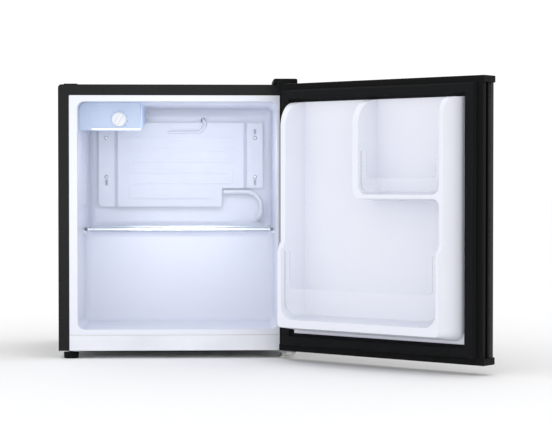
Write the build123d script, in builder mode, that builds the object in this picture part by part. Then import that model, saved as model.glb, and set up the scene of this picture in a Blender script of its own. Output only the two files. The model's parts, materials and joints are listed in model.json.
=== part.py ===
"""Compact cube refrigerator with a right-hung door standing open, in millimetres.

The origin is on the floor under the middle of the cabinet. +Z is up, the door is on
the -Y side and +X is to the right of a person who stands in front of it.
"""

from build123d import *
import os
from math import cos, radians, sin, tan

os.makedirs("parts", exist_ok=True)

# ---------------------------------------------------------------- driving dimensions
WIDTH = 445.0  # cabinet and door, side to side
FRONT = -200.0  # front plane of the cabinet
BACK = 195.0  # outer face of the back panel
BASE = 14.5  # underside of the cabinet above the floor
TOP = 512.0  # top of the cabinet
SHEET = 1.0  # folded steel
FRAME = 20.0  # black front flange, sides and top
CORNER_R = 6.5  # top corners of the wrapper

CAVITY_HALF = 187.0  # food compartment, half its width
CAVITY_FLOOR = 54.0
CAVITY_TOP = 480.5
CAVITY_BACK = 152.0
HUMP_FRONT = 25.0  # front of the step over the machine bay
HUMP_TOP = 231.5
LINER = 2.0  # thermoformed plastic
RAIL_TOP = 43.5  # top of the white rail under the compartment

BAY_FRONT = 53.0  # machine bay, inside its steel lining
BAY_TOP = 207.0

SHELF_FRONT = -70.0
SHELF_BACK = 143.0
GLASS = 4.0

HINGE_X = 210.5  # vertical hinge axis
HINGE_Y = -230.0
OPEN = 138.5  # the door stands this far open, degrees
PIN_R = 4.0
PIN_PLAY = 0.05

DOOR_NEAR = -12.0  # hinge-side edge, from the hinge axis along the door
DOOR_FAR = 433.0  # free edge
DOOR_OUT = -18.0  # outer face, from the hinge axis across the door
DOOR_IN = 20.0  # inner face
DOOR_BOTTOM = 17.5
DOOR_TOP = 511.0
TOP_CAP = 11.5
BOTTOM_CAP = 12.0
CAP_PROUD = 3.0  # how far the caps stand out past the steel
TRIM = 12.0  # plastic edge trims of the door
GASKET_W = 24.0
GASKET_H = 9.7  # 0.3 short of the gap that it closes

POD_LOW = 57.0  # raised part of the door liner, at its foot
POD_HIGH = 475.0
POD_NEAR = 25.0
POD_FAR = 396.5
POD_STEP = 214.0  # height of the step between the deep and the shallow part
POD_DEEP = 63.0  # how far it stands out below the step
POD_SHALLOW = 52.0
POD_DRAFT = 9.5  # degrees

COMP_X = -62.0  # compressor centre
COMP_Y = 122.0
TUBE_R = 2.4
COIL_Y = 207.0  # plane of the rear condenser coil
FOOT_X = 200.0
FOOT_Y = -184.0

HALF = WIDTH / 2
ALONG = Vector(-cos(radians(OPEN)), -sin(radians(OPEN)), 0)  # hinge to free edge
ACROSS = Vector(-sin(radians(OPEN)), cos(radians(OPEN)), 0)  # outer to inner face


# ---------------------------------------------------------------- planes and helpers
def facing_front(y):
    """A plane across the cabinet, X to the right and Z up; it faces the front."""
    return Plane.XZ.offset(-y)


def from_side(x):
    """A plane along the cabinet's depth: Y to its right and Z up."""
    return Plane.YZ.offset(x)


def door_face(depth):
    """A plane parallel to the door: x is the distance from the hinge axis, y is Z."""
    here = Vector(HINGE_X, HINGE_Y, 0) + ACROSS * depth
    return Plane(origin=here, x_dir=ALONG, z_dir=ACROSS)


def door_section(along):
    """A plane square to the door: x is the height, y the depth towards the inside."""
    here = Vector(HINGE_X, HINGE_Y, 0) + ALONG * along
    return Plane(origin=here, x_dir=(0, 0, 1), z_dir=ALONG)


def door_plan(z):
    """A level plane through the door: x is from the hinge, y towards the outside."""
    return Plane(origin=(HINGE_X, HINGE_Y, z), x_dir=ALONG, z_dir=(0, 0, 1))


def span(x0, x1, y0, y1, mode=Mode.ADD):
    """A rectangle between two corners."""
    with Locations(((x0 + x1) / 2, (y0 + y1) / 2)):
        return Rectangle(abs(x1 - x0), abs(y1 - y0), mode=mode)


def save(piece, name):
    piece.part.label = name
    export_step(piece.part, f"parts/{name}.step")


def tube(points, bends, radius):
    """A round tube along straight runs joined by tangent arcs."""
    with BuildPart() as pipe:
        with BuildLine() as route:
            FilletPolyline(*points, radius=bends)
        with BuildSketch(Plane(origin=route.line @ 0, z_dir=route.line % 0)):
            Circle(radius)
        sweep(path=route.line)
    return pipe


# ---------------------------------------------------------------- cabinet
with BuildPart() as cabinet_wrapper:
    with BuildSketch(facing_front(FRONT)) as outline:
        span(-HALF, HALF, BASE, TOP)
        fillet(outline.vertices().group_by(Axis.Y)[-1], CORNER_R)
    extrude(amount=FRONT - BACK)
    with BuildSketch(facing_front(FRONT + SHEET)) as inside:
        span(SHEET - HALF, HALF - SHEET, BASE - SHEET, TOP - SHEET)
        fillet(inside.vertices().group_by(Axis.Y)[-1], CORNER_R - SHEET)
    extrude(amount=FRONT - BACK, mode=Mode.SUBTRACT)
    with BuildSketch(facing_front(FRONT)):
        span(FRAME - HALF, HALF - FRAME, BASE - SHEET, TOP - FRAME)
    extrude(amount=-SHEET, mode=Mode.SUBTRACT)
save(cabinet_wrapper, "cabinet_wrapper")


def compartment(grow):
    """The food compartment as a solid, with every wall moved outwards by grow."""
    low, high = CAVITY_FLOOR - grow, CAVITY_TOP + grow
    rear, step = CAVITY_BACK + grow, HUMP_FRONT + grow
    shelf = HUMP_TOP - grow
    with BuildPart() as room:
        with BuildSketch(from_side(-CAVITY_HALF - grow)) as side:
            with BuildLine():
                Polyline(
                    (FRONT, low), (step, low), (step, shelf),
                    (rear, shelf), (rear, high), (FRONT, high), close=True,
                )
            make_face()
            corners = side.vertices()
            nose = corners.sort_by_distance((step, shelf))[0]
            hollows = [
                corners.sort_by_distance(place)[0]
                for place in ((step, low), (rear, shelf), (rear, high))
            ]
            fillet(hollows, 17 + grow)
            nose = side.vertices().sort_by_distance(nose)[0]
            fillet(nose, 11 - grow)
        extrude(amount=2 * (CAVITY_HALF + grow))
        rims = room.faces().group_by(Axis.X)[0].edges()
        rims += room.faces().group_by(Axis.X)[-1].edges()
        fillet([e for e in rims if e.center().Y > FRONT + 1], 13 + grow)
    return room.part


INNER = compartment(0)
OUTER = compartment(LINER)
GROMMET_X, GROMMET_Z = 161.0, 255.0
INLET_X, INLET_Z = 46.0, 458.0

with BuildPart() as inner_liner:
    with BuildSketch(facing_front(FRONT)) as flange:
        side = HALF - FRAME - 0.3
        span(-side, side, RAIL_TOP + 0.5, TOP - FRAME - 0.3)
        fillet(flange.vertices().group_by(Axis.Y)[-1], 2)
    extrude(amount=-1.6)
    add(OUTER)
    add(INNER, mode=Mode.SUBTRACT)
    # shallow panel pressed into the left wall, which stiffens it
    with BuildSketch(from_side(-CAVITY_HALF)) as panel:
        span(-48, 12, 286, 428)
        fillet(panel.vertices(), 8)
    extrude(amount=-1, mode=Mode.SUBTRACT)
    # passages for the two refrigerant tubes
    with BuildSketch(facing_front(CAVITY_BACK - 1)):
        with Locations((GROMMET_X, GROMMET_Z)):
            Circle(6.5)
        with Locations((INLET_X, INLET_Z)):
            Circle(4.5)
    extrude(amount=-2 * LINER, mode=Mode.SUBTRACT)
save(inner_liner, "inner_liner")

with BuildPart() as insulation_foam:
    with BuildSketch(from_side(SHEET - HALF)):
        with BuildLine():
            Polyline(
                (FRONT + 1.6, BASE + SHEET), (BAY_FRONT - SHEET, BASE + SHEET),
                (BAY_FRONT - SHEET, BAY_TOP + SHEET), (BACK - SHEET, BAY_TOP + SHEET),
                (BACK - SHEET, TOP - SHEET), (FRONT + 1.6, TOP - SHEET), close=True,
            )
        make_face()
    extrude(amount=WIDTH - 2 * SHEET)
    uppers = insulation_foam.edges().filter_by(Axis.Y).group_by(Axis.Z)[-1]
    fillet(uppers, CORNER_R - SHEET)
    add(OUTER, mode=Mode.SUBTRACT)
    # room for the feet and for the two tubes that run inside the foam
    with BuildSketch(Plane.XY.offset(BASE + SHEET)):
        with Locations((-FOOT_X, FOOT_Y), (FOOT_X, FOOT_Y)):
            Circle(9)
    extrude(amount=20, mode=Mode.SUBTRACT)
    with BuildSketch(Plane.XY.offset(BAY_TOP)):
        with Locations((GROMMET_X, 172)):
            Circle(6.5)
    extrude(amount=GROMMET_Z + 6.5 - BAY_TOP, mode=Mode.SUBTRACT)
    with BuildSketch(facing_front(CAVITY_BACK)):
        with Locations((GROMMET_X, GROMMET_Z)):
            Circle(6.5)
        with Locations((INLET_X, INLET_Z)):
            Circle(4.5)
    extrude(amount=-20, mode=Mode.SUBTRACT)
save(insulation_foam, "insulation_foam")

with BuildPart() as back_panel:
    with BuildSketch(facing_front(BACK - SHEET)) as sheet:
        span(SHEET - HALF + 0.1, HALF - SHEET - 0.1, BAY_TOP, TOP - SHEET - 0.1)
        fillet(sheet.vertices().group_by(Axis.Y)[-1], CORNER_R - SHEET)
    extrude(amount=-SHEET)
    # two long swages that stop the sheet from drumming
    with BuildSketch(facing_front(BACK)):
        with GridLocations(0, 40, 1, 2):
            with Locations((0, 360)):
                SlotOverall(340, 9)
    extrude(amount=-1.2)
save(back_panel, "back_panel")

with BuildPart() as bay_lining:
    wide = HALF - SHEET - 0.1
    with BuildSketch(from_side(-wide)):
        span(BAY_FRONT - SHEET, BAY_FRONT, BASE + SHEET, BAY_TOP + SHEET)
        span(BAY_FRONT - SHEET, BACK - SHEET, BAY_TOP, BAY_TOP + SHEET)
    extrude(amount=2 * wide)
    with BuildSketch(Plane.XY.offset(BAY_TOP)):
        with Locations((GROMMET_X, 172)):
            Circle(6.5)
    extrude(amount=SHEET, mode=Mode.SUBTRACT)
save(bay_lining, "bay_lining")

COMP_BOLTS = [(COMP_X + dx, COMP_Y + dy) for dx in (-84, 84) for dy in (-40, 40)]
REAR_FEET = [(-188, 165), (188, 165)]

with BuildPart() as base_pan:
    with BuildSketch(Plane.XY.offset(BASE)):
        span(SHEET - HALF + 0.1, HALF - SHEET - 0.1, FRONT + 1.6, BACK)
    extrude(amount=SHEET)
    # folded rear lip
    with BuildSketch(Plane.XY.offset(BASE)):
        span(SHEET - HALF + 0.1, HALF - SHEET - 0.1, BACK - SHEET, BACK)
    extrude(amount=14)
    with BuildSketch(Plane.XY.offset(BASE)):
        with Locations((-FOOT_X, FOOT_Y), (FOOT_X, FOOT_Y)):
            Circle(4.05)
        with Locations(*COMP_BOLTS):
            Circle(3.05)
    extrude(amount=SHEET, mode=Mode.SUBTRACT)
save(base_pan, "base_pan")

with BuildPart() as bottom_front_rail:
    reach = HALF - FRAME - 0.3
    with BuildSketch(from_side(-reach)):
        span(FRONT, FRONT + 1.6, BASE, RAIL_TOP)
    extrude(amount=2 * reach)
    fillet(bottom_front_rail.edges().filter_by(Axis.X).group_by(Axis.Y)[0], 0.7)
save(bottom_front_rail, "bottom_front_rail")

with BuildPart() as spare_hinge_cover:
    with BuildSketch(Plane.XY.offset(TOP)) as pad:
        with Locations((-200, -176)):
            RectangleRounded(26, 34, 5)
    extrude(amount=1.8)
    fillet(spare_hinge_cover.faces().sort_by(Axis.Z)[-1].edges(), 1)
save(spare_hinge_cover, "spare_hinge_cover")

# ---------------------------------------------------------------- machine bay
with BuildPart() as compressor_shell:
    with BuildSketch(Plane.XY.offset(40)):
        with Locations((COMP_X, COMP_Y)):
            Ellipse(74, 56)
    extrude(amount=132)
    fillet(compressor_shell.edges().group_by(Axis.Z)[-1], 26)
    fillet(compressor_shell.edges().group_by(Axis.Z)[0], 14)
    # the welded seam between the two halves of the shell
    with BuildSketch(Plane.XY.offset(98)):
        with Locations((COMP_X, COMP_Y)):
            Ellipse(76.5, 58.5)
    extrude(amount=5)
    # stubs for charging, suction and discharge
    with BuildSketch(Plane.YZ.offset(COMP_X + 60)):
        with Locations((COMP_Y + 18, 128), (COMP_Y - 18, 128)):
            Circle(4)
    extrude(amount=24)
save(compressor_shell, "compressor_shell")

with BuildPart() as compressor_plate:
    with BuildSketch(Plane.XY.offset(34)):
        with Locations((COMP_X, COMP_Y)):
            RectangleRounded(192, 100, 16)
        with Locations(*COMP_BOLTS):
            Circle(6.2, mode=Mode.SUBTRACT)
    extrude(amount=3)
    with BuildSketch(Plane.XY.offset(37)):
        with Locations((COMP_X, COMP_Y)):
            Ellipse(60, 42)
    extrude(amount=3)
save(compressor_plate, "compressor_plate")

with BuildPart() as compressor_grommets:
    with BuildSketch(Plane.XY.offset(BASE + SHEET)):
        with Locations(*COMP_BOLTS):
            Circle(10)
            Circle(3.2, mode=Mode.SUBTRACT)
    extrude(amount=34 - BASE - SHEET)
    with BuildSketch(Plane.XY.offset(34)):
        with Locations(*COMP_BOLTS):
            Circle(6.1)
            Circle(3.2, mode=Mode.SUBTRACT)
    extrude(amount=6)
save(compressor_grommets, "compressor_grommets")

with BuildPart() as compressor_bolts:
    with BuildSketch(Plane.XY.offset(BASE - 3.5)):
        with Locations(*COMP_BOLTS):
            RegularPolygon(5, 6)
    extrude(amount=3.5)
    with BuildSketch(Plane.XY.offset(BASE)):
        with Locations(*COMP_BOLTS):
            Circle(3)
    extrude(amount=31)
    with BuildSketch(Plane.XY.offset(40)):
        with Locations(*COMP_BOLTS):
            RegularPolygon(5.5, 6)
    extrude(amount=4.5)
save(compressor_bolts, "compressor_bolts")

RELAY_X = COMP_X - 74
with BuildPart() as relay_cover:
    with BuildSketch(Plane.YZ.offset(RELAY_X - 26)):
        with Locations((COMP_Y, 92)):
            RectangleRounded(52, 62, 6)
    extrude(amount=32)
    fillet(relay_cover.faces().sort_by(Axis.X)[0].edges(), 3)
    add(compressor_shell.part, mode=Mode.SUBTRACT)
save(relay_cover, "relay_cover")

with BuildPart() as terminal_box:
    with BuildSketch(Plane.XY.offset(BASE + SHEET)):
        with Locations((160, 150)):
            RectangleRounded(66, 46, 5)
    extrude(amount=58)
    fillet(terminal_box.faces().sort_by(Axis.Z)[-1].edges(), 3)
    with BuildSketch(facing_front(173)):
        with Locations((160, 45)):
            Circle(6.5)
    extrude(amount=8, mode=Mode.SUBTRACT)
save(terminal_box, "terminal_box")

with BuildPart() as power_cord_gland:
    with BuildSketch(facing_front(165)):
        with Locations((160, 45)):
            Circle(6.4)
    extrude(amount=-8)
    with BuildSketch(facing_front(173)):
        with Locations((160, 45)):
            Circle(10)
    extrude(amount=-5)
    with BuildSketch(facing_front(178)):
        with Locations((160, 45)):
            Circle(7)
    extrude(amount=-12, taper=9)
    with BuildSketch(facing_front(165)):
        with Locations((160, 45)):
            Circle(3.6)
    extrude(amount=-25, mode=Mode.SUBTRACT)
save(power_cord_gland, "power_cord_gland")

# ---------------------------------------------------------------- refrigerant circuit
PASSES = 11
PITCH = 25.0
COIL_LOW = 236.0
COIL_HALF = 165.0
COIL_R = PITCH / 2

with BuildPart() as condenser_coil:
    with BuildLine(facing_front(COIL_Y)) as coil:
        for row in range(PASSES):
            z = COIL_LOW + row * PITCH
            side = 1 if row % 2 == 0 else -1
            Line((-side * COIL_HALF, z), (side * COIL_HALF, z))
            if row < PASSES - 1:
                CenterArc((side * COIL_HALF, z + COIL_R), COIL_R, -90, 180 * side)
    with BuildSketch(Plane(origin=(-COIL_HALF, COIL_Y, COIL_LOW), z_dir=(1, 0, 0))):
        Circle(TUBE_R)
    sweep(path=coil.line)
save(condenser_coil, "condenser_coil")

WIRE_R = 0.8
WIRE_COUNT = 21
WIRE_PITCH = 15.5
with BuildPart() as condenser_wires:
    with BuildSketch(Plane.XY.offset(COIL_LOW - 8)):
        for y in (COIL_Y - TUBE_R - WIRE_R - 0.05, COIL_Y + TUBE_R + WIRE_R + 0.05):
            with Locations((0, y)):
                with GridLocations(WIRE_PITCH, 0, WIRE_COUNT, 1):
                    Circle(WIRE_R)
    extrude(amount=(PASSES - 1) * PITCH + 16)
save(condenser_wires, "condenser_wires")

CLIP_X = (4 - COIL_HALF, COIL_HALF - 4)
CLIP_Z = (COIL_LOW, COIL_LOW + (PASSES - 1) * PITCH)
with BuildPart() as condenser_clips:
    for x in CLIP_X:
        with BuildSketch(Plane.YZ.offset(x - 3.5)):
            for z in CLIP_Z:
                with Locations((COIL_Y, z)):
                    Circle(TUBE_R + 2)
                span(BACK, COIL_Y, z - 2.2, z + 2.2)
                span(BACK, BACK + 1.5, z - 12, z + 12)
                with Locations((COIL_Y, z)):
                    Circle(TUBE_R + 0.02, mode=Mode.SUBTRACT)
        extrude(amount=7)
save(condenser_clips, "condenser_clips")

DISCHARGE = [
    (COMP_X + 84, COMP_Y + 18, 128), (COMP_X + 108, COMP_Y + 18, 128),
    (COMP_X + 108, COIL_Y, 128), (COMP_X + 108, COIL_Y, 170),
    (-COIL_HALF - 22, COIL_Y, 170), (-COIL_HALF - 22, COIL_Y, COIL_LOW),
    (-COIL_HALF, COIL_Y, COIL_LOW),
]
discharge_tube = tube(DISCHARGE, 10, TUBE_R)
save(discharge_tube, "discharge_tube")

COIL_HIGH = COIL_LOW + (PASSES - 1) * PITCH
DRIER_X, DRIER_Y, DRIER_LOW, DRIER_LONG = 190.0, 120.0, 96.0, 70.0
with BuildPart() as filter_drier:
    with BuildSketch(Plane.XY.offset(DRIER_LOW)):
        with Locations((DRIER_X, DRIER_Y)):
            Circle(9.5)
    extrude(amount=DRIER_LONG)
    fillet(filter_drier.edges(), 5)
save(filter_drier, "filter_drier")

LIQUID = [
    (COIL_HALF, COIL_Y, COIL_HIGH), (DRIER_X, COIL_Y, COIL_HIGH),
    (DRIER_X, COIL_Y, 190), (DRIER_X, DRIER_Y, 190),
    (DRIER_X, DRIER_Y, DRIER_LOW + DRIER_LONG),
]
liquid_tube = tube(LIQUID, 10, TUBE_R)
save(liquid_tube, "liquid_tube")

SUCTION = [
    (GROMMET_X, CAVITY_BACK + 0.5, GROMMET_Z), (GROMMET_X, 172, GROMMET_Z),
    (GROMMET_X, 172, 182), (GROMMET_X, COMP_Y - 18, 182),
    (60, COMP_Y - 18, 182), (60, COMP_Y - 18, 128), (COMP_X + 84, COMP_Y - 18, 128),
]
suction_tube = tube(SUCTION, 10, 3.2)
save(suction_tube, "suction_tube")

# ---------------------------------------------------------------- evaporator
PLATE_HALF = 169.0
PLATE_LOW = 279.5
PLATE_HIGH = 452.0
PLATE = 1.5
FLANGE_Y = 143.0  # the screwed side strips
PANEL_Y = 135.0  # the raised middle
NOTCH_X = 84.5
NOTCH_Z = 317.5
SCREW_X = 153.0
SCREW_Z = (340.5, 421.0)

with BuildPart() as evaporator_plate:
    with BuildSketch(Plane.XY.offset(PLATE_LOW)):
        with BuildLine() as bend:
            fold = FilletPolyline(
                (-PLATE_HALF, FLANGE_Y), (-136, FLANGE_Y), (-129, PANEL_Y),
                (129, PANEL_Y), (136, FLANGE_Y), (PLATE_HALF, FLANGE_Y), radius=3,
            )
        trace(fold, PLATE)
    extrude(amount=PLATE_HIGH - PLATE_LOW)
    # channels of the refrigerant, blown up between the two bonded sheets
    with BuildSketch(facing_front(PANEL_Y - PLATE / 2)):
        rows = [300, 330, 352, 374, 396, 418]
        for z in rows:
            right = 66 if z < NOTCH_Z + 8 else 108
            with Locations(((right - 108) / 2, z)):
                SlotOverall(216 - (108 - right), 7)
        for number, (low, high) in enumerate(zip(rows[1:], rows[2:])):
            turn = 104.5 if number % 2 == 0 else -104.5
            with Locations((turn, (low + high) / 2)):
                SlotOverall(high - low + 7, 7, rotation=90)
        with Locations((-104.5, 315)):
            SlotOverall(37, 7, rotation=90)
    extrude(amount=1.3)
    with BuildSketch(facing_front(PANEL_Y - 10)):
        # notch over the suction tube, key slots and screw holes
        span(NOTCH_X, PLATE_HALF + 5, PLATE_LOW - 5, NOTCH_Z)
        with Locations(*[(x, z) for x in (-SCREW_X, SCREW_X) for z in SCREW_Z]):
            Circle(2.2)
        with Locations((-SCREW_X, 329), (SCREW_X, 329), (SCREW_X, 434)):
            SlotOverall(11, 5, rotation=90)
    extrude(amount=-40, mode=Mode.SUBTRACT)
    ends = evaporator_plate.edges().filter_by(Axis.Y)
    fillet(ends.group_by(Axis.X)[0], 9)
    fillet(evaporator_plate.edges().filter_by(Axis.Y).group_by(Axis.X)[-1], 5)
save(evaporator_plate, "evaporator_plate")

SCREWS = [(x, z) for x in (-SCREW_X, SCREW_X) for z in SCREW_Z]
with BuildPart() as evaporator_spacers:
    with BuildSketch(facing_front(CAVITY_BACK)):
        with Locations(*SCREWS):
            Circle(6)
            Circle(2.05, mode=Mode.SUBTRACT)
    extrude(amount=CAVITY_BACK - FLANGE_Y - PLATE / 2)
save(evaporator_spacers, "evaporator_spacers")

with BuildPart() as evaporator_screws:
    with BuildSketch(facing_front(CAVITY_BACK)):
        with Locations(*SCREWS):
            Circle(2)
    extrude(amount=CAVITY_BACK - FLANGE_Y + PLATE / 2)
    with BuildSketch(facing_front(FLANGE_Y - PLATE / 2)):
        with Locations(*SCREWS):
            Circle(4)
    extrude(amount=2.6)
    crowns = evaporator_screws.faces().group_by(Axis.Y)[0].edges()
    fillet(crowns, 1.2)
save(evaporator_screws, "evaporator_screws")

JOINT_Y = PANEL_Y - PLATE / 2 - 4.2
inlet_tube = tube(
    [
        (-26, JOINT_Y, 432.5), (40, JOINT_Y, 432.5), (INLET_X + 6, JOINT_Y, 448),
        (INLET_X, JOINT_Y, INLET_Z), (INLET_X, CAVITY_BACK + 8, INLET_Z),
    ],
    (10, 8, 3.9), 2.9,
)
save(inlet_tube, "inlet_tube")

SLEEVE_Y = 137.0
suction_sleeve = tube(
    [
        (88, SLEEVE_Y, 309.5), (GROMMET_X + 4, SLEEVE_Y, 309.5),
        (GROMMET_X + 4, SLEEVE_Y, 270), (GROMMET_X, SLEEVE_Y, GROMMET_Z),
        (GROMMET_X, CAVITY_BACK + 0.4, GROMMET_Z),
    ],
    (30, 14, 6.5), 5,
)
save(suction_sleeve, "suction_sleeve")

with BuildPart() as tube_grommet:
    with BuildSketch(facing_front(CAVITY_BACK)):
        with Locations((GROMMET_X - 3, GROMMET_Z)):
            SlotOverall(30, 12)
        with Locations((GROMMET_X, GROMMET_Z)):
            Circle(5.1, mode=Mode.SUBTRACT)
    extrude(amount=3)
    fillet(tube_grommet.faces().sort_by(Axis.Y)[0].outer_wire().edges(), 1)
save(tube_grommet, "tube_grommet")

# ---------------------------------------------------------------- temperature control
BOX_FRONT = -154.0
BOX_BACK = 118.0
BOX_RIGHT = -71.0
BOX_LEFT = -CAVITY_HALF + 0.2
BOX_LOW = 427.6
BOX_LOW_BACK = 453.0
BOX_HIGH = CAVITY_TOP - 0.2
KNOB_X, KNOB_Z, KNOB_R = -111.5, 448.5, 13.5


def control_box(wall):
    """The wedge-shaped housing as a solid, with its walls moved inwards by wall."""
    with BuildPart() as wedge:
        with BuildSketch(from_side(BOX_LEFT + wall)):
            with BuildLine():
                Polyline(
                    (BOX_FRONT + wall, BOX_LOW + wall), (BOX_FRONT + 14, BOX_LOW + wall),
                    (BOX_BACK - wall, BOX_LOW_BACK + wall), (BOX_BACK - wall, BOX_HIGH),
                    (BOX_FRONT + wall, BOX_HIGH), close=True,
                )
            make_face()
        extrude(amount=BOX_RIGHT - BOX_LEFT - 2 * wall)
        ceiling_corner = wedge.edges().filter_by(Axis.Y).sort_by(Axis.X)[0:2]
        fillet(ceiling_corner.sort_by(Axis.Z)[-1], 14 - wall)
        if wall == 0:
            face = wedge.faces().sort_by(Axis.Y)[0]
            fillet(face.edges().sort_by(Axis.Z)[0], 3)
    return wedge.part


with BuildPart() as thermostat_housing:
    add(control_box(0))
    add(control_box(2), mode=Mode.SUBTRACT)
    # dial plate, sunk into the fascia
    with BuildSketch(facing_front(BOX_FRONT)) as dial:
        span(-167, -82, 433.5, 466)
        fillet(dial.vertices(), 8)
    extrude(amount=-1, mode=Mode.SUBTRACT)
    with BuildSketch(facing_front(BOX_FRONT + 3)):
        with Locations((KNOB_X, KNOB_Z)):
            Circle(3.6)
    extrude(amount=8, mode=Mode.SUBTRACT)
save(thermostat_housing, "thermostat_housing")

with BuildPart() as thermostat_body:
    with BuildSketch(facing_front(BOX_FRONT + 3)):
        with Locations((KNOB_X, KNOB_Z)):
            RectangleRounded(34, 26, 3)
    extrude(amount=-30)
    with BuildSketch(facing_front(BOX_FRONT + 3)):
        with Locations((KNOB_X, KNOB_Z)):
            Circle(3.05)
    extrude(amount=-12, mode=Mode.SUBTRACT)
save(thermostat_body, "thermostat_body")

sensor_tube = tube(
    [
        (KNOB_X, BOX_FRONT + 33, KNOB_Z + 4), (KNOB_X, BOX_FRONT + 60, KNOB_Z + 4),
        (KNOB_X, BOX_FRONT + 90, KNOB_Z + 22),
        (KNOB_X, 100, KNOB_Z + 22), (KNOB_X, 114, KNOB_Z + 12),
    ],
    12, 1.1,
)
save(sensor_tube, "sensor_tube")

with BuildPart() as thermostat_knob:
    with BuildSketch(facing_front(BOX_FRONT + 0.6)):
        with Locations((KNOB_X, KNOB_Z)):
            Circle(KNOB_R)
    extrude(amount=4.4)
    fillet(thermostat_knob.faces().sort_by(Axis.Y)[0].edges(), 1.2)
    # finger grip across the disc
    with BuildSketch(facing_front(BOX_FRONT - 3.8)):
        with Locations((KNOB_X, KNOB_Z)):
            SlotOverall(24, 6.5, rotation=60)
    extrude(amount=6, taper=4)
    fillet(thermostat_knob.faces().sort_by(Axis.Y)[0].edges(), 0.8)
    # shaft into the thermostat
    with BuildSketch(facing_front(BOX_FRONT + 0.6)):
        with Locations((KNOB_X, KNOB_Z)):
            Circle(3)
    extrude(amount=-12.5)
save(thermostat_knob, "thermostat_knob")

# ---------------------------------------------------------------- shelf
SHELF_HALF = CAVITY_HALF - 3.4
SHELF_LOW = HUMP_TOP + 5
with BuildPart() as glass_shelf:
    with BuildSketch(Plane.XY.offset(SHELF_LOW)) as pane:
        span(-SHELF_HALF, SHELF_HALF, SHELF_FRONT, SHELF_BACK)
        fillet(pane.vertices().group_by(Axis.Y)[-1], 22)
        fillet(pane.vertices().group_by(Axis.Y)[0], 5)
    extrude(amount=GLASS)
    fillet(glass_shelf.faces().sort_by(Axis.Z)[-1].edges(), 0.8)
save(glass_shelf, "glass_shelf")

with BuildPart() as shelf_bumpers:
    for side in (-1, 1):
        with BuildSketch(facing_front(SHELF_FRONT)):
            with Locations((side * (SHELF_HALF - 3.2), SHELF_LOW + GLASS / 2)):
                Circle(3.4)
        extrude(amount=3)
    fillet(shelf_bumpers.faces().group_by(Axis.Y)[0].edges(), 0.9)
save(shelf_bumpers, "shelf_bumpers")

with BuildPart() as shelf_ledges:
    with BuildSketch(Plane.XY.offset(SHELF_LOW - 6)):
        for side in (-1, 1):
            span(side * CAVITY_HALF, side * (CAVITY_HALF - 7), SHELF_FRONT + 14, 8)
    extrude(amount=5.7)
    # two pads on the step carry the back of the pane
    with BuildSketch(Plane.XY.offset(HUMP_TOP)):
        with Locations((-120, 90), (120, 90)):
            RectangleRounded(24, 24, 5)
    extrude(amount=SHELF_LOW - 0.3 - HUMP_TOP)
save(shelf_ledges, "shelf_ledges")

# ---------------------------------------------------------------- feet and hinges
FOOT_STUD = 3.95
with BuildPart() as levelling_foot_left:
    with BuildSketch():
        with Locations((-FOOT_X, FOOT_Y)):
            Circle(13.2)
    extrude(amount=11, taper=-6)
    fillet(levelling_foot_left.edges().group_by(Axis.Z)[-1], 1)
    with BuildSketch(Plane.XY.offset(11)):
        with Locations((-FOOT_X, FOOT_Y)):
            Circle(FOOT_STUD)
    extrude(amount=20)
save(levelling_foot_left, "levelling_foot_left")

with BuildPart() as levelling_screw_right:
    with BuildSketch():
        with Locations((FOOT_X, FOOT_Y)):
            Circle(11)
    extrude(amount=4)
    fillet(levelling_screw_right.edges().group_by(Axis.Z)[-1], 1)
    with BuildSketch(Plane.XY.offset(4)):
        with Locations((FOOT_X, FOOT_Y)):
            RegularPolygon(7.5, 6)
    extrude(amount=4.5)
    with BuildSketch(Plane.XY.offset(8.5)):
        with Locations((FOOT_X, FOOT_Y)):
            Circle(FOOT_STUD)
    extrude(amount=22)
save(levelling_screw_right, "levelling_screw_right")

with BuildPart() as foot_nuts:
    with BuildSketch(Plane.XY.offset(BASE + SHEET)):
        with Locations((-FOOT_X, FOOT_Y), (FOOT_X, FOOT_Y)):
            RegularPolygon(8.5, 6)
            Circle(FOOT_STUD + PIN_PLAY, mode=Mode.SUBTRACT)
    extrude(amount=6.5)
save(foot_nuts, "foot_nuts")

with BuildPart() as rear_feet:
    with BuildSketch():
        with Locations(*REAR_FEET):
            Circle(13)
    extrude(amount=BASE, taper=-4)
    fillet(rear_feet.edges().group_by(Axis.Z)[0], 1)
save(rear_feet, "rear_feet")


def hinge_plate(thick, low, back):
    """A steel strap from the cabinet out to the hinge axis, rounded round the pin."""
    with BuildPart() as strap:
        with BuildSketch(Plane.XY.offset(low)):
            span(HINGE_X - 28, HINGE_X + 10, FRONT + 6, back)
            with BuildLine():
                Polyline(
                    (HINGE_X - 28, FRONT + 6), (HINGE_X - 10, HINGE_Y),
                    (HINGE_X + 10, HINGE_Y), (HINGE_X + 10, FRONT + 6), close=True,
                )
            make_face()
            with Locations((HINGE_X, HINGE_Y)):
                Circle(10)
        extrude(amount=thick)
    return strap.part


HINGE_BACK = -146.0
TOP_BOLTS = [(HINGE_X - 20, -158), (HINGE_X + 2, -158)]
with BuildPart() as top_hinge_bracket:
    add(hinge_plate(2.5, TOP, HINGE_BACK))
    with BuildSketch(Plane.XY.offset(TOP)):
        with Locations(*TOP_BOLTS):
            Circle(2.6)
        with Locations((HINGE_X, HINGE_Y)):
            Circle(PIN_R)
    extrude(amount=2.5, mode=Mode.SUBTRACT)
save(top_hinge_bracket, "top_hinge_bracket")

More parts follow.
